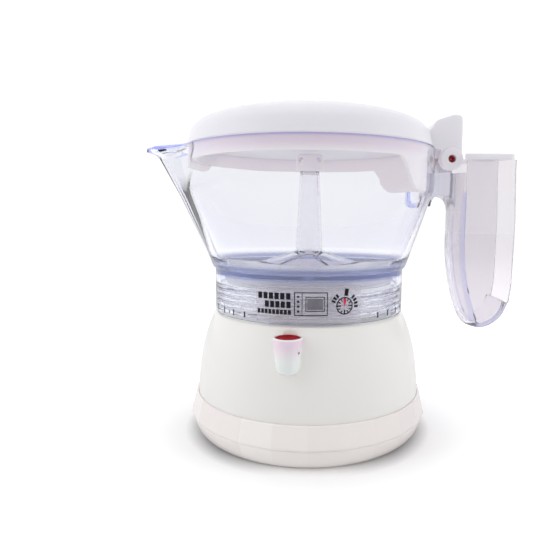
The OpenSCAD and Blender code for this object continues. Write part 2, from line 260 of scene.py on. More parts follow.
class Graph:
    """A short way to build a tree of nodes."""

    def __init__(self, tree):
        self.tree = tree

    def put(self, socket, value):
        """Feeds an input with another node's output, a number, a vector or a colour."""
        if isinstance(value, bpy.types.NodeSocket):
            self.tree.links.new(value, socket)
        elif socket.type == "RGBA":
            socket.default_value = (*value, 1)
        else:
            socket.default_value = value

    def node(self, kind, inputs=None, **settings):
        node = self.tree.nodes.new(kind)
        for key, value in settings.items():
            setattr(node, key, value)
        for key, value in (inputs or {}).items():
            self.put(node.inputs[key], value)
        return node

    def calc(self, operation, *values):
        """The result of a math node."""
        return self.node("ShaderNodeMath", dict(enumerate(values)), operation=operation).outputs[0]

    def times(self, product, *others):
        """The product of two or more values."""
        for other in others:
            product = self.calc("MULTIPLY", product, other)
        return product

    def map_range(self, value, start, end, low=0.0, high=1.0):
        """low to high as the value goes from start to end."""
        return self.node("ShaderNodeMapRange", {
            "Value": value, "From Min": start, "From Max": end,
            "To Min": low, "To Max": high}).outputs["Result"]

    def span(self, value, start, end, low=0.0, high=1.0):
        """map_range() with start and end in millimetres."""
        return self.map_range(value, start * MM, end * MM, low, high)

    def split(self, vector):
        return self.node("ShaderNodeSeparateXYZ", {"Vector": vector}).outputs

    def length(self, vector):
        return self.node("ShaderNodeVectorMath", {0: vector}, operation="LENGTH").outputs["Value"]

    def blend(self, factor, first, second, mode="MIX"):
        """Two colours mixed by a factor, or multiplied."""
        return self.node("ShaderNodeMix", {0: factor, 6: first, 7: second}, data_type="RGBA",
                         blend_type=mode).outputs[2]


class Shader(Graph):
    """One material's nodes, round its Principled shader."""

    def __init__(self, name):
        self.material = bpy.data.materials.new(name)
        self.material.use_nodes = True
        super().__init__(self.material.node_tree)
        self.surface = self.tree.nodes["Principled BSDF"]
        self.place = self.node("ShaderNodeTexCoord").outputs["Object"]
    def noise(self, scale, detail=4.0, stretch=(1, 1, 1)):
        """Noise with its scale in features per metre, stretched along the axes."""
        spread = self.node("ShaderNodeMapping", {"Vector": self.place, "Scale": stretch})
        return self.node("ShaderNodeTexNoise", {
            "Vector": spread.outputs["Vector"], "Scale": scale, "Detail": detail,
            "Roughness": 0.55}).outputs["Fac"]

    def ramp(self, factor, low, high, start=0.22, end=0.78):
        """A colour ramp between two colours or two grey values."""
        node = self.node("ShaderNodeValToRGB", {"Fac": factor})
        for stop, place, value in zip(node.color_ramp.elements, (start, end), (low, high)):
            stop.position = place
            stop.color = (*value, 1) if isinstance(value, tuple) else (value, value, value, 1)
        return node.outputs["Color"]

    def height_bands(self, height, bands):
        """Colour by height, from (height, colour) stops in millimetres."""
        top = bands[-1][0]
        ramp = self.node("ShaderNodeValToRGB", {"Fac": self.span(height, 0, top)})
        stops = ramp.color_ramp.elements
        while len(stops) < len(bands):
            stops.new(1.0)
        for stop, (level, colour) in zip(stops, bands):
            stop.position = level / top
            stop.color = (*colour, 1)
        return ramp.outputs["Color"]

    def radius(self, axes):
        """Distance from the vertical axis."""
        flat = self.node("ShaderNodeCombineXYZ", {"X": axes["X"], "Y": axes["Y"]}).outputs[0]
        return self.length(flat)

    def bump(self, height, strength, distance):
        normal = self.node("ShaderNodeBump", {"Height": height, "Strength": strength,
                                              "Distance": distance}).outputs["Normal"]
        self.put(self.surface.inputs["Normal"], normal)

    def set(self, **values):
        """Sets inputs of the Principled shader; a name's underscores stand for spaces."""
        for key, value in values.items():
            self.put(self.surface.inputs[key.replace("_", " ")], value)

    def absorb(self, colour, density):
        """Tints what light crosses, by depth."""
        volume = self.node("ShaderNodeVolumeAbsorption", {"Color": colour, "Density": density})
        self.put(self.tree.nodes["Material Output"].inputs["Volume"], volume.outputs["Volume"])


def moulded(name, light, dark, rough, coat=0.25, bump=0.06, depth=0.0, gloss=0.5):
    """Moulded plastic: faint flow marks in the colour, a varied gloss and a fine orange peel."""
    shader = Shader(name)
    grain = shader.noise(140, detail=2)
    shader.colour = shader.ramp(shader.noise(22, detail=3, stretch=(1, 1, 0.45)), dark, light)
    shader.set(Base_Color=shader.colour, Roughness=shader.ramp(grain, *rough, start=0.1, end=0.9),
               IOR=1.5, Coat_Weight=coat, Coat_Roughness=0.08, Specular_IOR_Level=gloss)
    if depth:
        shader.set(Subsurface_Weight=depth, Subsurface_Scale=0.004,
                   Subsurface_Radius=(1, 0.8, 0.6))
    shader.bump(shader.noise(110, detail=2), bump, 0.0002)
    return shader


def clear(name, tint, rough, absorb_colour, density, ior, ripple):
    """See-through plastic: a tint that deepens with thickness, and faint moulding ripples."""
    shader = Shader(name)
    scuffs = shader.noise(420, detail=6, stretch=(1, 1, 0.3))
    shader.set(Base_Color=tint, Roughness=shader.ramp(scuffs, *rough, start=0.45, end=0.8),
               IOR=ior, Transmission_Weight=1.0)
    shader.bump(shader.noise(45, detail=2, stretch=(1, 1, 0.35)), ripple, 0.0006)
    shader.absorb(absorb_colour, density)
    return shader


def painted_edge_line_mask(shader, axes):
    """1 on a thin line that follows the handle's front corner, where a painted blue edge line goes."""
    spine = handle_spine()
    corners = [grip_row(k, spine, NOSE_R, HANDLE_HALF, 0)[CHEEK_STEPS]
               for k in range(0, len(spine) - 10, 4)]
    line = sorted(((x, z) for x, _, z in corners), key=lambda corner: corner[1])
    far_x, far_z = 120, 160
    follow = shader.node("ShaderNodeFloatCurve", {
        "Value": shader.times(axes["Z"], 1 / (far_z * MM))})
    curve = follow.mapping.curves[0]
    for x, z in line[1:-1]:
        curve.points.new(z / far_z, x / far_x)
    for point, (x, z) in zip((curve.points[0], curve.points[-1]), (line[0], line[-1])):
        point.location = (z / far_z, x / far_x)
    follow.mapping.update()
    corner = shader.times(follow.outputs["Value"], far_x * MM)
    away = shader.calc("ABSOLUTE", shader.calc("SUBTRACT", axes["X"], corner))
    below = shader.span(axes["Z"], 124, 126, 1.0, 0.0)
    return shader.times(shader.span(away, 0.3, 0.9, 1.0, 0.0), below)


def jug_plastic():
    """Clear plastic of the jug. The floor slab is tinted grey-blue. Its edge, the rim, the clip and a
    line on the handle's corner carry painted blue shade, standing in for light seen edge-on through
    the plastic. The handle is milkier than the wall, and the web between them milkier still."""
    # The rim, floor-edge, clip and handle-corner colours are painted blue shade for light seen edge-on.
    collar, pure, rim = (0.925, 0.932, 0.965), (0.942, 0.945, 0.953), (0.58, 0.61, 0.93)
    slab, edge, clip = (0.81, 0.82, 0.89), (0.37, 0.42, 0.66), (0.60, 0.62, 0.92)
    milk, painted_edge_blue = (0.912, 0.880, 0.898), (0.62, 0.62, 0.84)
    shader = clear("clear_moulded", pure, (0.0, 0.05), (0.28, 0.35, 0.76), 20, ior=1.36, ripple=0.01)
    axes = shader.split(shader.place)
    radius = shader.radius(axes)

    def wall(tint, start, full, last, end):
        """Collar, the floor's tint between its levels, plain wall, and the painted blue line of the
        rim.
        """
        return shader.height_bands(axes["Z"], [
            (0, collar), (start, collar), (full, tint), (last, tint), (end, pure),
            (145.0, pure), (145.5, rim), (148, rim)])

    # Grey-blue floor slab, with painted darker blue shade towards its edge.
    near_edge = shader.span(radius, 46.0, 48.6)
    jug = shader.blend(near_edge, wall(slab, 82.6, 83.4, 88.5, 92), wall(edge, 82.0, 83.2, 87.6, 89.8))
    # Painted blue shade on the clip, standing in for light seen edge-on through it.
    painted_clip_shade_zone = shader.times(shader.span(radius, 57.3, 56.3), shader.span(axes["Z"], 113, 115))
    jug = shader.blend(painted_clip_shade_zone, jug, clip)
    handle = shader.span(axes["X"], 61, 67)
    web_haze = shader.times(handle, shader.span(axes["X"], 79, 77),
                            shader.span(axes["Z"], 98, 121), 0.65)
    edge_haze = shader.times(shader.span(axes["Z"], 82.2, 83.6), shader.span(axes["Z"], 91.5, 87.6),
                             shader.span(axes["X"], 67, 61), near_edge)
    haze = shader.calc("MAXIMUM", web_haze, edge_haze)
    through = shader.ramp(handle, 1.0, 0.87, start=0.0, end=1.0)
    # Painted blue line on the handle's front corner, standing in for light seen edge-on.
    grip = shader.blend(painted_edge_line_mask(shader, axes), milk, painted_edge_blue)
    shader.set(Base_Color=shader.blend(handle, jug, grip),
               Transmission_Weight=shader.blend(haze, through, (0.58, 0.58, 0.58)))
    return shader.material


def liner_plastic():
    """Milky plastic of the liner, with painted purple shade on the outside of its skirt under the rim,
    where the jug's blue rim stands in front of it.
    """
    shader = moulded("liner_moulded", (0.89, 0.85, 0.88), (0.86, 0.82, 0.85), rough=(0.5, 0.58),
                     coat=0.0, depth=0.7, gloss=0.03)
    axes = shader.split(shader.place)
    # Painted purple shade on the skirt's outside, standing in for the jug's rim seen in front of it.
    outside = shader.times(shader.span(axes["Z"], 139, 143),
                           shader.span(shader.radius(axes), 59.2, 59.8))
    shader.set(Base_Color=shader.blend(outside, shader.colour, (0.77, 0.70, 0.78)))
    return shader.material


def frosted(name, light, dark, transmission, rough, bump=0.2):
    """Translucent plastic: part of the light goes through, scattered."""
    shader = Shader(name)
    cloud = shader.noise(60, detail=4)
    shader.set(Base_Color=shader.ramp(cloud, dark, light), IOR=1.45, Transmission_Weight=transmission,
               Roughness=shader.ramp(shader.noise(700, detail=2), *rough))
    shader.bump(shader.noise(1400, detail=2), bump, 0.0002)
    return shader.material


def rubber(name, light, dark, rough=(0.45, 0.6), gloss=0.5):
    """Silicone: matt, with a fine bloom."""
    shader = Shader(name)
    bloom = shader.noise(180, detail=5)
    shader.set(Base_Color=shader.ramp(bloom, dark, light), IOR=1.41,
               Roughness=shader.ramp(shader.noise(800), *rough), Specular_IOR_Level=gloss)
    shader.bump(shader.noise(1500, detail=3), 0.25, 0.0002)
    return shader.material


def painted_facet_shading(shader, light, dark):
    """A slightly different painted shade on each of the flats round the band, standing in for how each
    flat catches the light.
    """
    axes = shader.split(shader.place)
    angle = shader.calc("ARCTAN2", axes["Y"], axes["X"])
    index = shader.calc("FLOOR", shader.times(angle, BAND_FLATS / (2 * math.pi)))
    pick = shader.node("ShaderNodeTexWhiteNoise", {"W": index}, noise_dimensions="1D")
    return shader.ramp(pick.outputs["Value"], dark, light, start=0.0, end=1.0)


def band_plastic():
    """Plastic of the foot and the grip band."""
    shader = Shader("band_moulded")
    veil = shader.ramp(shader.noise(22, detail=3), 0.97, 1.0)
    # Painted shading that differs from flat to flat, for how each flat catches the light.
    tone = painted_facet_shading(shader, (0.95, 0.92, 0.89), (0.85, 0.79, 0.775))
    shader.set(Base_Color=shader.blend(1.0, tone, veil, mode="MULTIPLY"), Coat_Weight=0.2,
               Roughness=shader.ramp(shader.noise(120), 0.22, 0.27), Coat_Roughness=0.08)
    shader.bump(shader.noise(110, detail=2), 0.05, 0.0002)
    return shader.material


def cup_plastic(low_z, high_z):
    """Ivory of the valve cup, with a pink glow near its top from the red plug behind it."""
    shader = Shader("cup_plastic")
    white, pink, rim = (0.86, 0.87, 0.85), (0.86, 0.70, 0.80), (0.93, 0.92, 0.92)
    glow = shader.height_bands(shader.split(shader.place)["Z"], [
        (low_z, white), (low_z + 5, white), (high_z - 3, pink), (high_z - 0.8, pink),
        (high_z - 0.4, rim), (high_z, rim)])
    veil = shader.blend(shader.noise(70, detail=3), (1.0, 1.0, 1.0), (0.95, 0.97, 0.98))
    shader.set(Base_Color=shader.blend(1.0, glow, veil, mode="MULTIPLY"),
               Roughness=shader.ramp(shader.noise(200), 0.2, 0.28), Coat_Weight=0.3,
               Coat_Roughness=0.06, Subsurface_Weight=0.15, Subsurface_Scale=0.002)
    shader.bump(shader.noise(300, detail=3), 0.1, 0.0003)
    return shader.material


# ---------------- base

BAND_FLATS = 24
BAND_TOP, FOOT_TOP = 21.2, 10.2
BAND_LOW_R, BAND_TOP_R = 62.2, 60.0
HOUSING_R = 58.5


def flat_factor(angle):
    """Radius of a 24-sided ring with rounded corners, as a share of its corner radius."""
    half, corner = math.pi / BAND_FLATS, 0.04
    off = abs((angle % (2 * half)) - half)
    blunt = math.sqrt((half - off) ** 2 + (corner * half) ** 2)
    return math.cos(half) / math.cos(half - min(half, blunt))


def foot_and_band():
    """Rounded foot, and the grip band with 24 flats; each row says how far it follows them."""
    foot_curve = bezier((54, 0), (58.5, 0.6), (59.9, 4.5), (61.3, FOOT_TOP - 0.7), 14)
    rows = [(0, 0, 0), (41, 0, 0), (42, 0, 0), (42.4, 0.8, 0), (47.2, 0.8, 0), (47.6, 0, 0)]
    rows += [(r, z, 0) for r, z in foot_curve]
    rows += [(61.35, FOOT_TOP - 0.35, 0.2), (61.2, FOOT_TOP, 0.6), (61.6, FOOT_TOP + 0.15, 1),
             (BAND_LOW_R - 0.15, FOOT_TOP + 0.35, 1), (BAND_LOW_R, FOOT_TOP + 0.8, 1)]
    rows += straight((BAND_LOW_R, FOOT_TOP + 0.8, 1), (BAND_TOP_R, BAND_TOP - 1.0, 1), 9)[:-1]
    rows += [(BAND_TOP_R, BAND_TOP - 0.9, 1), (BAND_TOP_R - 0.12, BAND_TOP - 0.45, 0.9),
             (BAND_TOP_R - 0.5, BAND_TOP - 0.12, 0.6), (BAND_TOP_R - 1.0, BAND_TOP, 0.3),
             (HOUSING_R + 0.05, BAND_TOP - 0.1, 0), (HOUSING_R + 0.02, BAND_TOP - 3, 0),
             (HOUSING_R, FOOT_TOP + 4, 0), (55, FOOT_TOP + 2, 0), (52, 3.5, 0), (0, 3.5, 0)]

    def flatted(radius, follow):
        return lambda angle: radius * (1 + follow * (flat_factor(angle) - 1))

    profile = [(flatted(r, follow) if follow else r, z) for r, z, follow in rows]
    return dress(lathe("foot_and_band", profile, BAND_FLATS * 10, wrap=False), "base",
                 blush, ["base_tray"], sharp_deg=50)


VALVE_DEG, VALVE_AT = 9.2, 55.8
VALVE_TURN = FRONT - math.radians(VALVE_DEG)
VALVE_SPOT = (VALVE_AT * math.cos(VALVE_TURN), VALVE_AT * math.sin(VALVE_TURN))
CUP_FACETS, FACET_DEPTH = 12, 0.013
VENT_DEG, VENT_Z = 62, 53.5


def housing():
    """Domed cover, with the recess of the valve cup cut out."""
    outer = bezier((HOUSING_R, BAND_TOP - 2), (58.2, 37), (55.3, 51), (50.2, 61.3), 40)
    inner = [(r - 2.4, z - 0.4) for r, z in reversed(outer)]
    shoulder = [(49.8, 61.9), (49.2, 62.4), (48.4, 62.75), (47.8, 62.9), (46, 62.9), (46, 60.5),
                (47.4, 60.5)]
    foot = [(HOUSING_R - 2.4, BAND_TOP - 2.4)]
    piece = lathe("housing_dome", outer + shoulder + inner[:-1] + foot, 240)
    recess = [(0, 45.6), (5.5, 45.6), (5.7, 58), (6.6, 70), (0, 70)]
    combine(piece, lathe("recess", recess, 64, VALVE_SPOT, wrap=False), "DIFFERENCE")
    return dress(piece, "base", ivory, ["base_housing"])


def valve_cup():
    """White cup on the front: a rounded bottom, twelve soft facets, a rim and a vent hole."""
    side = [(0, 43.0), (2.2, 43.05), (3.9, 43.5), (5.0, 44.4), (5.6, 45.6), (5.85, 47.0)]
    side += straight((5.85, 47), (6.5, 58.4), 6)
    rim = [(6.5, 59.3), (6.4, 59.6), (6.1, 59.75), (5.9, 59.6), (5.8, 59.3), (5.75, 58.85),
           (5.3, 58.6), (5.3, 46.0), (4.9, 45.4), (0, 45.2)]

    def faceted(radius):
        return lambda angle: radius * (
            1 - FACET_DEPTH * abs(math.sin(CUP_FACETS * (angle - VALVE_TURN) / 2)))

    profile = [(faceted(r) if 45 < z < 57.5 else r, z) for r, z in side] + rim
    angles = turn(96, VALVE_TURN)
    cup = skin("valve_cup", [ring(r, z, angles, VALVE_SPOT) for r, z in profile], wrap=False)
    vent = lathe("vent", [(0, -8), (0.65, -8), (0.65, 8), (0, 8)], 24, wrap=False)
    vent.data.transform(shift(*VALVE_SPOT, VENT_Z) @ spin(math.degrees(VALVE_TURN) + VENT_DEG, "Z")
                        @ shift(8, 0, 0) @ spin(90, "Y"))
    combine(cup, vent, "DIFFERENCE")
    return dress(cup, "base", cup_plastic(45, 59.7), ["valve_shroud"])


def valve_button():
    """Red silicone plug: a dished top with a rolled edge, and its stem."""
    profile = [(0, 49), (1.8, 49), (1.8, 53.3), (4.7, 53.3), (4.9, 53.5), (4.9, 58.9), (5.45, 59.0),
               (5.6, 59.2), (5.5, 59.4), (5.2, 59.5), (4.4, 59.45), (3.6, 59.3), (1.6, 59.15),
               (0, 59.1)]
    return dress(lathe("valve_button", profile, 72, VALVE_SPOT, wrap=False), "valve",
                 red_silicone, ["valve_plug"])


# ---------------- threads, shared by tank and jug

LEAD, PITCH = 6.0, 3.0


def ridge_height(z, angle, first_z, last_z, middle_z, height):
    """How far the two-start thread stands out at a height and an angle."""
    phase = (z - middle_z - LEAD * angle / (2 * math.pi)) / PITCH
    shape = (0.5 + 0.5 * math.cos(2 * math.pi * phase)) ** 1.6
    ends = smooth_step(first_z, first_z + 1.2, z) * (1 - smooth_step(last_z - 1.2, last_z, z))
    return height * shape * ends


def tank():
    """Water tank with its threaded neck."""
    profile = [(0, 6), (42, 6), (45, 8.5), (48, 12), (48, 46), (45.6, 57), (43.6, 60.5)]

    def threaded(radius, z):
        return (lambda angle: radius + ridge_height(z, angle, 64.5, 77, 66.3, 2.5)), z

    profile += [threaded(r, z) for r, z in straight((43.6, 60.5), (43.6, 78.2), 72)]
    profile += [(41.2, 78.2), (41.2, 59.5), (45.6, 45), (45.6, 12.5), (43, 10.2), (41, 8.2), (0, 8.2)]
    return dress(lathe("tank_and_thread", profile, 160, wrap=False), "base",
                 frosted_plastic, ["water_tank", "tank_thread"])


# ---------------- jug

WALL = 2.2
RIM_Z, RIM_R = 146.0, 64.2
FLOOR_Z = 86.2
FLANK_BLUR = 1.1
RIDGE_BLUNT = 2.2
SPOUT_RIDGE = [(86.4, 51.2), (120.9, 67.7), (137.4, 76.8), (141.4, 79.1), (143.0, 80.8), (144.6, 85.6)]
SPOUT_SPREAD = [(86, 3), (92, 6), (104, 14), (112, 22), (118, 27.5), (126, 31), (134, 32.5), (148, 33)]
LIP_HEIGHT = [(0, -1.4), (0.6, 0.0), (1.4, 1.0), (3, 1.3), (9, 1.2), (20, 0.4), (31, 0)]
FLARE = bezier((51, 86.8), (56.5, 104), (61, 116.5), (63.9, 125), 160)
WALL_LINE = [(FLOOR_Z, 50.6)] + [(z, r) for r, z in FLARE] + [(129, RIM_R), (150, RIM_R)]


def off_deg(angle, middle_deg):
    """Degrees between an angle and a direction."""
    return abs((math.degrees(angle) - middle_deg + 180) % 360 - 180)


def spout_radius(z, away_deg, inset):
    """Radius of the jug's wall at a height, away_deg away from the spout. inset is 0 outside."""
    base = value_at(WALL_LINE, z) - inset
    reach = value_at(SPOUT_RIDGE, z - 0.5 * inset) - 1.25 * inset
    spread = value_at(SPOUT_SPREAD, z) - 0.4 * inset
    blunt = math.sqrt(away_deg ** 2 + RIDGE_BLUNT ** 2) - RIDGE_BLUNT
    inward = FLANK_BLUR * math.log1p(math.exp(min(40.0, (spread - blunt) / FLANK_BLUR)))
    off = math.radians(spread - inward)
    foot_x = base * math.cos(math.radians(spread))
    foot_y = base * math.sin(math.radians(spread))
    if off <= -math.radians(spread) or inward < 1e-3:
        return base
    flank = reach / (math.cos(off) + math.sin(off) * (reach - foot_x) / foot_y)
    narrow = 1 + smooth_step(140, 144.6, z) * (math.exp(-blunt / 14.4) - 1)
    return base + max(0.0, flank - base) * narrow


def jug_angles():
    """Column angles: fine round the spout, and even elsewhere."""
    off = [38 * (i / 40) ** 1.8 for i in range(41)]
    off += [38 + 142 * i / 72 for i in range(1, 72)]
    degrees = [180 + d for d in off] + [360] + [540 - d for d in reversed(off[1:])]
    return [math.radians(d) for d in degrees]


def wall_row(inset, height):
    """One row of the wall, with the spout and its lip."""
    def z(angle):
        lip = value_at(LIP_HEIGHT, off_deg(angle, 180)) * smooth_step(138, RIM_Z, height)
        return height + lip

    return (lambda angle: spout_radius(z(angle), off_deg(angle, 180), inset)), z


def thread_row(z):
    """One row of the collar's inner thread."""
    middle_z = 66.3 + PITCH / 2
    return (lambda angle: 47.2 - ridge_height(z, angle, 65.2, 78.5, middle_z, 1.9)), z


def jug_profile():
    """Rows of the closed skin: up the collar and the wall, over the rim, down the inside, in over
    the floor and its cone, and back below them to the thread."""
    rows = [(48.9, 63.5), (49.25, 63.6), (49.4, 64.0)] + straight((49.4, 64), (49.4, 85), 6)
    rows += [(49.6, 85.5), (50.2, 85.9)]
    heights = [FLOOR_Z + 48.8 * (i / 30) for i in range(31)] + [135 + 11 * i / 22 for i in range(1, 22)]
    rows += [wall_row(0, z) for z in heights]
    rim = [(0, 0.4), (0.12, 0.12), (0.45, 0), (WALL - 0.45, 0), (WALL - 0.12, 0.12), (WALL, 0.4)]
    rows += [wall_row(inset, RIM_Z - down) for inset, down in rim]
    rows += [wall_row(WALL, RIM_Z - 1 - 6 * i / 10) for i in range(11)]
    rows += [wall_row(WALL + 0.6 * smooth_step(0, 30, i), 138.6 - 43.1 * i / 32) for i in range(33)]
    rows += [wall_row(WALL + 0.65, 93.0), wall_row(WALL + 0.8, 90.8)]
    rows += bezier((48.2, 89.4), (47.6, 87.2), (45.4, FLOOR_Z), (41.5, FLOOR_Z), 9)
    rows += [(34, FLOOR_Z), (28.2, FLOOR_Z), (27.2, 86.35), (26.4, 86.8)]
    rows += straight((26.4, 86.8), (8.2, 93.7), 8) + [(7.5, 94), (5.15, 94), (5.15, 90.6), (7, 90.6)]
    rows += straight((7, 90.6), (22, 84.4), 6)
    rows += [(22.8, 83.9), (23.6, 83.6), (40, 83.6), (46.6, 83.6), (47.2, 83.2)]
    rows += [thread_row(82.6 - (82.6 - 64.2) * i / 66) for i in range(67)]
    return rows + [(47.4, 63.7), (47.7, 63.5)]


def jug_shell():
    """Clear jug: collar with its thread, floor with the cone, flared wall, and the beak."""
    angles = jug_angles()
    return skin("clear_jug", [ring(r, z, angles) for r, z in jug_profile()])


PIN_X, PIN_Z = PIN = (72.0, 141.6)
NOSE_R = 20.6
GRIP_TOP = 134.6


def hinge_bar(name, radius, half, columns=48):
    """A round bar along Y, on the line of the hinge pin."""
    outline = arc(PIN, radius, [360 * i / columns for i in range(columns)])
    return prism(name, outline, -half, half)


def tongue():
    """Tongue between the ears of the lid, with the bore of the pin."""
    outline = [(67, 126)] + arc(PIN, 5, range(180, -70, -10)) + [(73.8, 136.9), (73.8, 126)]
    piece = soften(prism("tongue", outline, -5, 5), 0.5)
    return combine(piece, hinge_bar("bore", 2.05, 6), "DIFFERENCE")


def nose_depth(y):
    """How far the handle's rounded nose falls back at this distance from its middle."""
    return NOSE_R - math.sqrt(NOSE_R ** 2 - y * y)


def web():
    """Bridge between the wall and the handle, arched below, that ends inside the nose's wall."""
    arch = bezier((62.3, 117.5), (62.9, 121.8), (64.4, 123.2), (67, 123.2), 8)
    arch += bezier((67, 123.2), (70.6, 123.2), (73.0, 120.6), (73.2, 113.5), 8)[1:]
    outline = [(61, GRIP_TOP), (61, 117.5)] + arch + [(74.2, 113.5), (74.2, GRIP_TOP)]
    half, steps = 8.4, 12
    sections = []
    for i in range(steps + 1):
        y = half * (2 * i / steps - 1)
        sections.append([(x + nose_depth(y) * smooth_step(66, 73, x), y, z) for x, z in outline])
    return soften(skin("web", sections, wrap=False, capped=True), 0.5, angle_deg=50)


def flap_clip():
    """Small U-shaped clip on the inside of the wall that the lid's flap drops behind."""
    outer = [(51.5, 124.6, 0.6), (51.5, 116.2, 3.2), (60.8, 116.2, 1), (60.8, 124.6, 0.2),
             (59.4, 124.6, 0.2), (59.4, 119, 1.2), (53.2, 118.6, 1.6), (53.2, 124.6, 0.6)]
    return soften(prism("clip", rounded(outer), -3.2, 3.2), 0.4, segments=2)


# ---------------- handle

HANDLE_HALF = 14.0
CHEEK_TOP = 141.0
GRIP_STRAIGHT = 8
HEEL_Z = 68.5
CHEEK_STEPS = 8
BACK_EDGE = [(HEEL_Z, 102.6), (78, 103.8), (110, 104.2), (CHEEK_TOP, 103.2)]


def handle_spine():
    """Side view of the handle's inner edge and toe: points, from the top inside to the back."""
    grip = [(73.0, GRIP_TOP - (GRIP_TOP - 98) * i / GRIP_STRAIGHT) for i in range(GRIP_STRAIGHT)]
    grip += bezier((73, 98), (73.6, 80), (77.5, 62), (83.5, 55.6), 16)[:-1]
    toe = bezier((83.5, 55.6), (85.1, 54.2), (88, 53.4), (90.5, 54.6), 6)[:-1]
    heel = bezier((90.5, 54.6), (96.5, 56.8), (101.6, 61), (102.6, HEEL_Z), 10)
    return grip + toe + heel


def grip_row(k, spine, nose_r, half, inset):
    """One line across the handle: cheek, nose, cheek, on the layer with this inset."""
    last = len(spine) - 1
    x, z = spine[k]
    before, after = spine[max(0, k - 1)], spine[min(last, k + 1)]
    along = Vector((after[0] - before[0], after[1] - before[1])).normalized()
    inward = Vector((-along.y, along.x))
    flatten = 1 - 0.8 * smooth_step(0.45, 0.8, k / last)
    nose = []
    for i in range(17):
        y = half * (i / 8 - 1)
        depth = inset + (nose_r - math.sqrt(nose_r ** 2 - y * y)) * flatten
        nose.append((x + inward.x * depth, y, z + inward.y * depth))
    back_z = z
    if k > GRIP_STRAIGHT:
        share = (k - GRIP_STRAIGHT) / (last - GRIP_STRAIGHT)
        back_z = spine[GRIP_STRAIGHT][1] + (HEEL_Z - spine[GRIP_STRAIGHT][1]) * share
    back = (value_at(BACK_EDGE, back_z), back_z)
    cheek = [back] + straight(back, (nose[0][0], nose[0][2]), CHEEK_STEPS)[:-1]
    return [(x, -half, z) for x, z in cheek] + nose + [(x, half, z) for x, z in reversed(cheek)]


def grip_layer(spine, nose_r, half, inset):
    """Points of one layer of the handle's wall: the rows, then the cheeks' raised parts."""
    rows = [grip_row(k, spine, nose_r, half, inset) for k in range(len(spine))]
    points = [p for row in rows for p in row]
    width = len(rows[0])
    for side in (range(0, 9), range(width - 9, width)):
        for level in (1, 2):
            z = GRIP_TOP + (CHEEK_TOP - GRIP_TOP) * level / 2
            points += [(rows[0][i][0], rows[0][i][1], z) for i in side]
    return points, width


def grip_faces(count, width):
    """Faces of one layer, for a number of rows."""
    faces = [(k * width + i, k * width + i + 1, (k + 1) * width + i + 1, (k + 1) * width + i)
             for k in range(count - 1) for i in range(width - 1)]
    new = count * width
    for side in (range(0, 9), range(width - 9, width)):
        base = list(side)
        for _ in range(2):
            above = list(range(new, new + 9))
            faces += [(base[i + 1], base[i], above[i], above[i + 1]) for i in range(8)]
            base = above
            new += 9
    return faces


def handle_shell():
    """Clear hollow handle, open at the back and the top."""
    spine = handle_spine()
    outside, width = grip_layer(spine, NOSE_R, HANDLE_HALF, 0)
    inside, _ = grip_layer(spine, NOSE_R - WALL, HANDLE_HALF - WALL, WALL)
    faces = grip_faces(len(spine), width)
    count = len(outside)
    edges = {(f[i], f[(i + 1) % 4]) for f in faces for i in range(4)}
    rim = [(a, b) for a, b in edges if (b, a) not in edges]
    faces += [tuple(count + i for i in reversed(f)) for f in faces]
    faces += [(b, a, count + a, count + b) for a, b in rim]
    return soften(add_mesh("handle_shell", outside + inside, faces), 0.5, angle_deg=40)


RIBS, RIB_DEG = 6, -7


def cone_ribs():
    """Thin radial ribs under the cone of the floor."""
    outline = [(6.2, 91.3), (23.4, 84.3), (23.4, 83.7), (21, 83.7), (6.2, 89.4)]
    ribs = []
    for i in range(RIBS):
        rib = prism("rib", outline, -0.6, 0.6)
        rib.data.transform(spin(RIB_DEG + 360 / RIBS * i, "Z"))
        ribs.append(rib)
    return join("ribs", ribs)


def clear_moulding():
    """Jug, thread, ribs, web, tongue, clip and handle as the one clear moulding that they are."""
    piece = jug_shell()
    for part in (cone_ribs(), web(), tongue(), flap_clip(), handle_shell()):
        combine(piece, part, "UNION")
    return dress(piece, "jug", clear_plastic, ["jug_body", "jug_thread", "handle"],
                 sharp_deg=32)


def handle_trim():
    """White rails on the handle's cheeks, joined at the back."""
    outline = rounded([(78, -14, 1), (103.2, -14, 3), (103.2, 14, 3), (78, 14, 1), (78, 11.8, 1),
                       (99.8, 11.8, 2), (99.8, -11.8, 2), (78, -11.8, 1)])
    piece = soften(prism("handle_trim", outline, 141.02, 144, along="Z"), 0.6)
    return dress(piece, "jug", milky, ["handle_cover"])


# ---------------- label and print on the collar

PRINT_R = 49.66
DIAL_DEG, DIAL_Z, DIAL_R = 19.0, 72.2, 4.0
OVEN_DEG, OVEN_Z = 1.2, 73.2


def patch(low_deg, high_deg, low_z, high_z, radius=PRINT_R, thick=0.06):
    """A thin curved plate on the collar. Degrees run from the front towards the handle."""
    steps = max(2, int((high_deg - low_deg) / 1.5))
    outline = [(radius, low_z), (radius, high_z), (radius + thick, high_z), (radius + thick, low_z)]
    sections = []
    for i in range(steps + 1):
        angle = FRONT + math.radians(low_deg + (high_deg - low_deg) * i / steps)
        sections.append([(r * math.cos(angle), r * math.sin(angle), z) for r, z in outline])
    return skin("patch", sections, wrap=False, capped=True)


def wrap_ring(inner, outer, radius=PRINT_R, thick=0.06):
    """A thin plate between two closed lines of (across, up) from the dial's centre."""
    rows = []
    for line, depth in ((inner, 0), (outer, 0), (outer, thick), (inner, thick)):
        r = radius + depth
        row = []
        for across, up in line:
            angle = FRONT + math.radians(DIAL_DEG) + across / radius
            row.append((r * math.cos(angle), r * math.sin(angle), DIAL_Z + up))
        rows.append(row)
    return skin("ring_mark", rows)


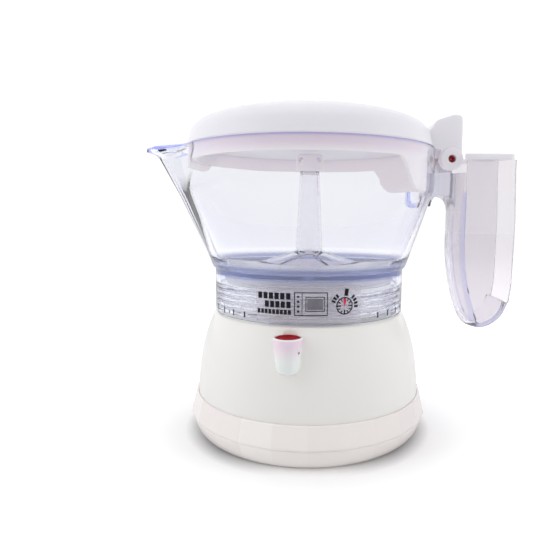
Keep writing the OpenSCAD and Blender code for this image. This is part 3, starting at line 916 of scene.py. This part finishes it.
def box_marks(middle_deg, middle_z, half_deg, half_z, line):
    """Four thin patches that draw a box."""
    turn = math.degrees(line / PRINT_R)
    low_deg, high_deg = middle_deg - half_deg, middle_deg + half_deg
    low_z, high_z = middle_z - half_z, middle_z + half_z
    return [patch(low_deg, high_deg, high_z - line, high_z),
            patch(low_deg, high_deg, low_z, low_z + line),
            patch(low_deg, low_deg + turn, low_z, high_z),
            patch(high_deg - turn, high_deg, low_z, high_z)]


def dashes(low_deg, high_deg, low_z, high_z, count):
    """A row of small blocks, in place of a printed line."""
    pitch = (high_deg - low_deg) / count
    return [patch(low_deg + pitch * i, low_deg + pitch * (i + 0.74), low_z, high_z)
            for i in range(count)]


def circle_line(radius):
    return arc((0, 0), radius, range(0, 360, 9))


def dial_block(turn_deg, near, far, half):
    """A small block that points away from the dial's centre, clockwise from the top."""
    turn = math.radians(turn_deg)
    line = [(r * math.sin(turn) + side * math.cos(turn), r * math.cos(turn) - side * math.sin(turn))
            for side, r in ((-half, near), (half, near), (half, far), (-half, far))]
    middle = (sum(p[0] for p in line) / 4, sum(p[1] for p in line) / 4)
    return wrap_ring([middle] * 4, line)


def label():
    """Frosted printed panel."""
    piece = patch(-28.5, 28.5, 64.6, 81, 49.42, thick=0.22)
    piece.name = "label_panel"
    return dress(piece, "jug", label_film, ["collar_label"])


def label_print():
    """Rows of blocks, an oven outline and a dial with marks, with no lettering, and scale marks."""
    marks = dashes(-27.4, -8.6, 75.1, 78.0, 6)
    marks += dashes(-23.4, -8.6, 71.3, 74.2, 5)
    marks += dashes(-27.8, -8.6, 68.3, 70.4, 9)
    marks += box_marks(OVEN_DEG, OVEN_Z, 8.7, 5.3, 0.4)
    marks.append(patch(OVEN_DEG - 4.7, OVEN_DEG - 4.4, OVEN_Z - 5.2, OVEN_Z + 5.2))
    marks += box_marks(OVEN_DEG + 2.2, OVEN_Z, 5.0, 3.3, 0.32)
    for i in range(4):
        z = OVEN_Z + 3.3 - 2.2 * i
        marks.append(patch(OVEN_DEG - 7.2, OVEN_DEG - 6.0, z - 0.45, z + 0.45))
    marks.append(wrap_ring(circle_line(DIAL_R - 0.5), circle_line(DIAL_R)))
    for turn_deg in (-68, -53, -38, 46, 62, 78, 94):
        marks.append(dial_block(turn_deg, 4.8, 6.6, 0.5))
    marks.append(dial_block(8, 4.6, 7.8, 0.9))
    for hour in range(12):
        length, half = (1.7, 0.3) if hour % 3 == 0 else (1.2, 0.22)
        marks.append(dial_block(30 * hour, DIAL_R - 0.5 - length, DIAL_R - 0.5, half))
    for degree in (-66, -56, -46, -37, 41, 50, 60, 70):
        marks.append(patch(degree - 0.5, degree + 0.5, 65.0, 67.8, 49.41))
    return dress(join("label_marks", marks), "jug", print_ink, sharp_deg=60)


def label_colours():
    """Grey oven window, and the red wedge of the dial."""
    radius = PRINT_R + 0.002
    window = patch(OVEN_DEG - 1.9, OVEN_DEG + 6.3, OVEN_Z - 2.5, OVEN_Z + 2.5, radius)
    window.name = "label_window"
    dress(window, "jug", window_ink, sharp_deg=60)
    wedge = [(-0.15, -0.2), (0.15, -0.2), (0.9, 3.0), (-0.7, 3.2)]
    pointer = wrap_ring([(0, 1.6)] * 4, wedge, radius + 0.03)
    pointer.name = "label_wedge"
    dress(pointer, "jug", red_ink, sharp_deg=60)


# ---------------- column

def column():
    """Tapered riser column with its bore."""
    outer = straight((7.1, 94), (5.0, 135.2), 24)
    profile = [(3.2, 90.8), (5.1, 90.8), (5.1, 93.9), (6.8, 93.95)] + outer
    profile += [(4.6, 135.3), (4.6, 139.2), (3.2, 139.2), (3.2, 135.8), (3.75, 134.6)]
    profile += straight((3.75, 134.6), (5.9, 94.7), 24) + [(3.2, 94.55)]
    return dress(lathe("riser_tube", profile, 96), "jug", riser_plastic,
                 ["riser_column"])


def cap():
    """Cap of the column, with four outlets under its roof."""
    profile = [(4.65, 135.2), (6.6, 135.2), (7, 135.6), (7, 142.6), (6.7, 143.4), (6, 143.9),
               (4.6, 144.1), (0, 144.2), (0, 142.4), (5.4, 142.4), (5.4, 139.4), (4.65, 139.4)]
    piece = lathe("riser_cap", profile, 96)
    outlet = [(-8, 139.6), (8, 139.6), (8, 142), (-8, 142)]
    for i in range(2):
        slot = soften(prism("slot", outlet, -1.5, 1.5), 0.3)
        slot.data.transform(spin(45 + 90 * i, "Z"))
        combine(piece, slot, "DIFFERENCE")
    return dress(piece, "jug", liner_milky, ["column_cap"])


# ---------------- lid

BOSS_HALF = 10.9
LID_TOP = [(62.1, 150.2), (60.4, 154.9), (55.6, 159.0), (45, 162.4), (30, 164.7), (14, 165.9),
           (0, 166.2)]


def lid_shell():
    """Milky dome with the thumb lever and the two hinge ears."""
    crown = spline(LID_TOP, 10)
    skirt = [(60.9, 146.8), (61.3, 146.45), (62.2, 146.45), (62.6, 146.9), (62.5, 148.6)]
    inside = [(max(0.0, r - 1.8 * smooth_step(0, 20, r)), z - 1.7) for r, z in reversed(crown)]
    dome = lathe("lid_shell", skirt + crown + inside, 240)
    lever = [(60.5, 146.6, 0.3), (66.3, 146.6, 1), (66.3, PIN_Z, 0), (76.9, PIN_Z, 0),
             (76.9, 158, 2.5), (76.6, 162.9, 2.4), (73, 163.7, 2.5), (63.5, 160.6, 1.6),
             (61.8, 157.0, 0.5), (60.5, 156.0, 0.3)]
    block = prism("lever", rounded(lever, 6), -10, 10)
    combine(block, hinge_bar("ear", 5.75, 10, 96), "UNION")
    gap = arc(PIN, 5.8, range(0, 181, 6)) + [(PIN_X - 5.8, PIN_Z - 8), (PIN_X + 5.8, PIN_Z - 8)]
    combine(block, prism("gap", gap, -5.3, 5.3), "DIFFERENCE")
    soften(block, 1.0, segments=4, angle_deg=40)
    boss = soften(hinge_bar("boss", 5.7, BOSS_HALF, 96), 0.6, segments=4)
    slit = [(60, 130), (84, 130), (84, 152), (60, 152)]
    combine(boss, prism("slit", slit, -5.6, 5.6), "DIFFERENCE")
    combine(block, boss, "UNION")
    combine(block, hinge_bar("bore", 2.0, 12), "DIFFERENCE")
    piece = join("lid_shell_and_lever", [dome, block])
    return dress(piece, "lid", milky, ["lid_dome"], sharp_deg=40)


FLAP_EDGE = [(0, 125), (33, 125), (37, 125.8), (40, 128), (46, 137.5), (48, 139.3), (150, 139.3)]
BAFFLE_EDGE = [(0, 135.5), (13, 135.5), (18, 136.5), (21, 139.3), (24, 142.4), (25, 146.2)]
SKIRT_TOP = 146.8


def liner():
    """Milky inner disc with its skirt, deeper at the handle, and the baffle at the spout."""
    def edge(share):
        """z of the skirt at a share of its depth."""
        return lambda angle: SKIRT_TOP + (value_at(FLAP_EDGE, off_deg(angle, 0)) - SKIRT_TOP) * share

    levels = (0.03, 0.2, 0.4, 0.6, 0.8, 0.93, 0.985)
    profile = [(0, 148.4), (59.9, 148.4), (60.8, 148.1), (60.8, 147.0), (60.2, SKIRT_TOP)]
    profile += [(60.2, edge(share)) for share in levels] + [(59.9, edge(1)), (58.7, edge(1))]
    profile += [(58.4, edge(share)) for share in reversed(levels)]
    profile += [(58.4, SKIRT_TOP), (0, SKIRT_TOP)]
    shell = lathe("liner_shell", profile, 360, wrap=False)
    return dress(join("liner", [shell, baffle()]), "lid", liner_milky, ["lid_liner"])


def baffle():
    """Curved plate of the liner that stands in the mouth of the spout."""
    half_deg, steps, top = 25, 50, 146.4
    sections = []
    for i in range(steps + 1):
        off = half_deg * (2 * i / steps - 1)
        low = value_at(BAFFLE_EDGE, abs(off))
        angle = math.pi + math.radians(off)
        outline = [(60.6, top), (61.6, top), (61.8, 146.2), (61.8, low + 0.4), (61.5, low),
                   (60.9, low), (60.6, low + 0.4)]
        sections.append([(r * math.cos(angle), r * math.sin(angle), min(z, top))
                         for r, z in outline])
    return skin("baffle", sections, wrap=False, capped=True)


def pin():
    """Dark red hinge pin with chamfered, dimpled ends."""
    end = [(0.9, 7.3), (1.5, 8.7), (1.75, 8.8), (1.97, 8.5)]
    profile = [(0, -7.0)] + [(r, -z) for r, z in end] + list(reversed(end)) + [(0, 7.0)]
    piece = lathe("red_pin", profile, 48, wrap=False)
    piece.data.transform(shift(PIN_X, 0, PIN_Z) @ spin(90, "X"))
    return dress(piece, "lid", pin_red, ["hinge_pin"])


# ---------------- stage, light and camera

LAMP_AIM = Vector((0, 0, 0.08))


def light_box(name, power, size, place):
    """A soft rectangular lamp, sizes in metres, aimed at the object."""
    data = bpy.data.lights.new(name, "AREA")
    data.shape = "RECTANGLE"
    data.size, data.size_y = size
    data.energy = power
    lamp = add(name, data)
    lamp.location = place
    lamp.visible_glossy = False
    lamp.visible_transmission = False
    lamp.rotation_euler = (LAMP_AIM - Vector(place)).to_track_quat("-Z", "Y").to_euler()


def white_floor():
    """White floor, shaded where the foot stands, that glows a little to the camera."""
    half_m = 3.0
    corners = [(half_m * x, half_m * y, 0) for x, y in ((-1, -1), (1, -1), (1, 1), (-1, 1))]
    mesh = bpy.data.meshes.new("floor")
    mesh.from_pydata(corners, [], [(0, 1, 2, 3)])
    floor = add("floor", mesh)
    paint = Shader("floor_paint")
    rays = paint.node("ShaderNodeLightPath").outputs
    seen = paint.calc("MAXIMUM", rays["Is Camera Ray"], rays["Is Transmission Ray"])
    away = paint.length(paint.place)
    glow = paint.times(paint.span(away, 55, 140, 0.07, 0.5), paint.span(away, 250, 1200, 1.0, 0.72))
    shade = paint.ramp(paint.span(away, 53, 66), 0.20, 0.88, start=0.0, end=1.0)
    aside = paint.calc("ABSOLUTE", paint.split(paint.place)["X"])
    paint.set(Base_Color=paint.blend(paint.span(aside, 12, 42), (0.88, 0.88, 0.88), shade),
              Roughness=0.8, Specular_IOR_Level=0.1, Emission_Strength=paint.times(seen, glow),
              Emission_Color=(1.0, 1.0, 1.0))
    mesh.materials.append(paint.material)


def surround():
    """Pale light from all round, stronger from the sides; the camera sees plain white."""
    world = bpy.data.worlds.new("surround")
    bpy.context.scene.world = world
    world.use_nodes = True
    world.node_tree.nodes.clear()
    sky = Graph(world.node_tree)
    toward = sky.split(sky.node("ShaderNodeTexCoord").outputs["Generated"])
    back = sky.map_range(toward["Y"], -0.7, 0.5)
    tone = sky.blend(back, (0.43, 0.415, 0.405), (0.90, 0.905, 0.96))
    side = sky.map_range(sky.calc("ABSOLUTE", toward["X"]), 0.1, 0.95)
    tone = sky.blend(side, tone, (1.0, 1.0, 1.02))
    light = sky.node("ShaderNodeBackground", {"Color": tone, "Strength": 0.9})
    plain = sky.node("ShaderNodeBackground", {"Color": (1, 1, 1), "Strength": 1.05})
    rays = sky.node("ShaderNodeLightPath").outputs
    seen = sky.calc("MAXIMUM", rays["Is Camera Ray"], rays["Is Transmission Ray"])
    seen = sky.calc("MAXIMUM", seen, rays["Is Glossy Ray"])
    choose = sky.node("ShaderNodeMixShader", {0: seen, 1: light.outputs[0], 2: plain.outputs[0]})
    sky.node("ShaderNodeOutputWorld", {"Surface": choose.outputs[0]})


def studio():
    """Floor, surround and three soft boxes."""
    white_floor()
    surround()
    light_box("left_box", 2.8, (0.5, 0.9), (-0.85, -0.25, 0.55))
    light_box("right_box", 2.2, (0.5, 0.9), (0.85, -0.25, 0.55))
    light_box("top_box", 1.35, (0.9, 0.6), (0, 0.1, 1.0))


def camera():
    """View from the front, a little above, with the object right of the middle."""
    data = bpy.data.cameras.new("camera")
    data.sensor_width = 36
    data.lens = 34.78
    data.shift_x = -0.0797
    data.clip_start = 0.01
    eye = add("camera", data)
    eye.matrix_world = (Matrix.Translation((0, -0.2754, 0.1129))
                        @ spin(90 - 5.77, "X") @ spin(0.5, "Z"))
    bpy.context.scene.camera = eye


# ---------------- materials in use

ivory = moulded("ivory_moulded", (0.86, 0.852, 0.82), (0.835, 0.827, 0.795), rough=(0.27, 0.32),
                coat=0.6).material
blush = band_plastic()
milky = moulded("milky_moulded", (0.835, 0.825, 0.87), (0.815, 0.805, 0.85), rough=(0.27, 0.3),
                coat=0.12, bump=0.006, depth=0.25).material
liner_milky = liner_plastic()
clear_plastic = jug_plastic()
riser_plastic = clear("riser_moulded", (0.95, 0.945, 0.96), (0.05, 0.10), (0.45, 0.45, 0.6), 15,
                      ior=1.4, ripple=0.015).material
frosted_plastic = frosted("frosted_moulded", (0.96, 0.965, 0.98), (0.93, 0.94, 0.96), 0.1, (0.3, 0.4))
label_film = frosted("label_film", (0.86, 0.84, 0.89), (0.83, 0.81, 0.86), 0.8, (0.14, 0.2), bump=0.04)
print_ink = rubber("print_ink", (0.02, 0.02, 0.026), (0.01, 0.01, 0.014), rough=(0.5, 0.6), gloss=0.1)
window_ink = rubber("window_ink", (0.20, 0.19, 0.22), (0.14, 0.13, 0.16))
red_ink = rubber("red_ink", (0.75, 0.02, 0.04), (0.62, 0.01, 0.03))
grey_silicone = rubber("grey_silicone", (0.62, 0.62, 0.70), (0.55, 0.55, 0.63))
red_silicone = rubber("red_silicone", (0.38, 0.002, 0.012), (0.29, 0.001, 0.01), rough=(0.4, 0.5),
                      gloss=0.05)
pin_red = moulded("pin_red", (0.55, 0.01, 0.04), (0.38, 0.005, 0.02), rough=(0.2, 0.3)).material

foot_and_band()
housing()
valve_cup()
valve_button()
tank()
clear_moulding()
handle_trim()
label()
label_print()
label_colours()
column()
cap()
lid_shell()
liner()
pin()

CAD_LOOKS = {"valve_body": ivory, "filter_funnel": frosted_plastic, "funnel_screen": liner_milky,
             "filter_plate": liner_milky, "gasket": grey_silicone}
for node_name, material in CAD_LOOKS.items():
    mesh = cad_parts[node_name].data
    mesh.materials.clear()
    mesh.materials.append(material)

for clear_name in ("clear_jug", "riser_tube"):
    clear_piece = bpy.data.objects[clear_name]
    clear_piece.visible_shadow = False
    clear_piece.visible_diffuse = False

studio()
camera()
scene = bpy.context.scene
scene.view_settings.view_transform = "Standard"
scene.cycles.max_bounces = scene.cycles.transmission_bounces = 28
scene.cycles.diffuse_bounces = 8
